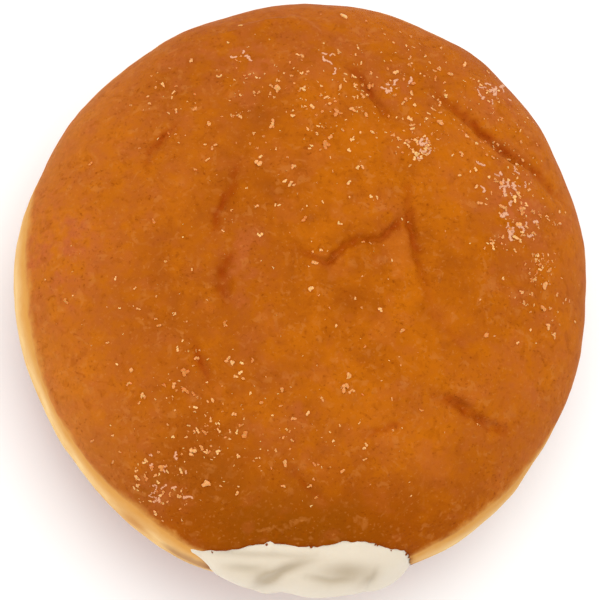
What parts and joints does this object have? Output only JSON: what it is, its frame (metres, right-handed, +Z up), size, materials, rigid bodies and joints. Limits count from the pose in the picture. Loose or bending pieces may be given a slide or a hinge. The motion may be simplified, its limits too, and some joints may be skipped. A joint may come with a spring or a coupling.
{
  "type": "cream-filled doughnut",
  "caption": "Round fried doughnut without a hole: a domed brown crust with a pale band round its middle, and a mouth in its side that soft white cream fills and bulges out of.",
  "frame": {"origin": "on the surface the doughnut rests on, under the middle of its outline seen from above", "axes": "+Z up, the way it lies on a table; -Y out of the mouth that the cream bulges from; +X to the right seen from the mouth's side"},
  "size_m": [0.0889, 0.0932, 0.0384],
  "materials": {
    "fried_crust": "satin",
    "cream": "satin"
  },
  "bodies": {
    "root": {"dough": "fried_crust", "cream": "cream"}
  },
  "joints": []
}
